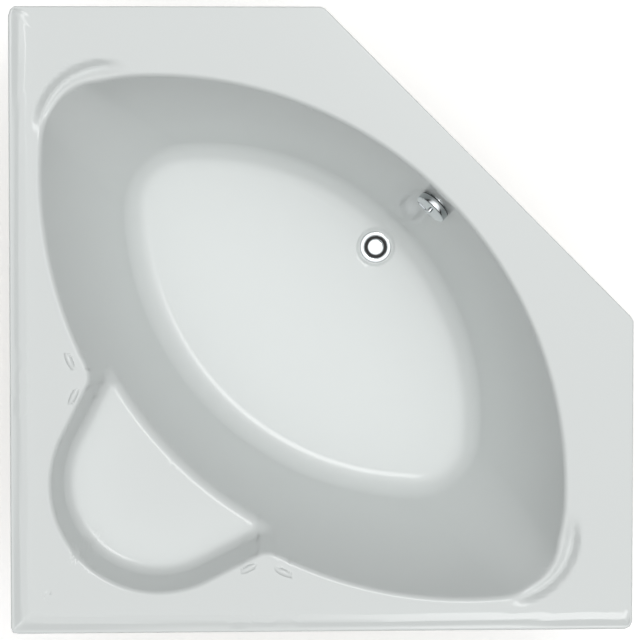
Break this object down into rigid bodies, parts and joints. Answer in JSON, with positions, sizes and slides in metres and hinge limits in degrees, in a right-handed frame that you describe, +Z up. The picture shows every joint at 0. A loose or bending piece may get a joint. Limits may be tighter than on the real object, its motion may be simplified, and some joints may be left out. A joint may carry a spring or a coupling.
{
  "type": "corner bathtub",
  "caption": "Corner bath with a cut front, an almond-shaped basin, a corner seat, tiling upstands, a knob-worked pop-up waste, and a framed base on adjustable feet.",
  "frame": {"origin": "on the floor, under the middle of the bath's square outline", "axes": "+Z up; the two wall sides are at -X and -Y, and the cut front faces +X +Y"},
  "size_m": [1.4, 1.4, 0.582],
  "materials": {
    "acrylic": "glossy white cast acrylic",
    "pine": "sawn softwood",
    "chipboard": "pressed chipboard",
    "galvanised_steel": "galvanised",
    "zinc_plated_steel": "bright zinc plating",
    "black_plastic": "moulded, satin",
    "chrome_plate": "polished chrome plating",
    "black_rubber": "moulded rubber",
    "white_polypropylene": "moulded, satin",
    "grey_hose": "ribbed, satin",
    "brass": "turned"
  },
  "bodies": {
    "bath": {"bath_shell": "acrylic", "rim_batten_left": "pine", "rim_batten_back": "pine", "rim_batten_left_end": "pine", "rim_batten_right_end": "pine", "rim_batten_front": "pine", "baseboard": "chipboard", "seat_board": "chipboard", "rail_front": "galvanised_steel", "rail_back": "galvanised_steel", "seat_rail": "galvanised_steel", "seat_prop": "galvanised_steel", "foot_nuts": "zinc_plated_steel", "lock_nuts": "zinc_plated_steel", "hose_clips": "zinc_plated_steel", "bowden_cable": "black_plastic", "drain_flange": "chrome_plate", "overflow_flange": "chrome_plate", "flange_gasket": "black_rubber", "body_gasket": "black_rubber", "overflow_gasket": "black_rubber", "drain_body": "white_polypropylene", "trap_bend": "white_polypropylene", "trap_inlet_nut": "white_polypropylene", "trap_outlet_nut": "white_polypropylene", "cleaning_cap": "white_polypropylene", "outlet_pipe": "white_polypropylene", "overflow_body": "white_polypropylene", "overflow_hose": "grey_hose"},
    "knob": {"overflow_knob": "chrome_plate", "knob_spindle": "brass", "cable_drum": "white_polypropylene"},
    "plug": {"plug_cap": "chrome_plate", "plug_seal": "black_rubber", "plug_stem": "brass"},
    "lever": {"lift_lever": "white_polypropylene"},
    "foot_1": {"foot_stud_1": "zinc_plated_steel", "foot_pad_1": "black_plastic"},
    "foot_2": {"foot_stud_2": "zinc_plated_steel", "foot_pad_2": "black_plastic"},
    "foot_3": {"foot_stud_3": "zinc_plated_steel", "foot_pad_3": "black_plastic"},
    "foot_4": {"foot_stud_4": "zinc_plated_steel", "foot_pad_4": "black_plastic"},
    "foot_5": {"foot_stud_5": "zinc_plated_steel", "foot_pad_5": "black_plastic"}
  },
  "joints": [
    {"name": "knob_turn", "type": "hinge", "parent": "bath", "child": "knob", "pos_m": [0.26108, 0.26108, 0.495], "axis": [-0.6849, -0.6849, 0.2489], "range_deg": [0, 90]},
    {"name": "plug_lift", "type": "slide", "parent": "bath", "child": "plug", "axis": [0, 0, 1], "range_m": [0, 0.01]},
    {"name": "lever_lift", "type": "hinge", "parent": "bath", "child": "lever", "pos_m": [0.13435, 0.13435, 0.1], "axis": [0.7071, -0.7071, 0], "range_deg": [0, 25]},
    {"name": "foot_height_1", "type": "slide", "parent": "bath", "child": "foot_1", "axis": [0, 0, -1], "range_m": [-0.008, 0.03]},
    {"name": "foot_height_2", "type": "slide", "parent": "bath", "child": "foot_2", "axis": [0, 0, -1], "range_m": [-0.008, 0.03]},
    {"name": "foot_height_3", "type": "slide", "parent": "bath", "child": "foot_3", "axis": [0, 0, -1], "range_m": [-0.008, 0.03]},
    {"name": "foot_height_4", "type": "slide", "parent": "bath", "child": "foot_4", "axis": [0, 0, -1], "range_m": [-0.008, 0.03]},
    {"name": "foot_height_5", "type": "slide", "parent": "bath", "child": "foot_5", "axis": [0, 0, -1], "range_m": [-0.008, 0.03]}
  ],
  "couplings": [
    {"joint": "knob_turn", "follows": "plug_lift", "rad_per_m": 157},
    {"joint": "lever_lift", "follows": "plug_lift", "rad_per_m": 43.6}
  ]
}
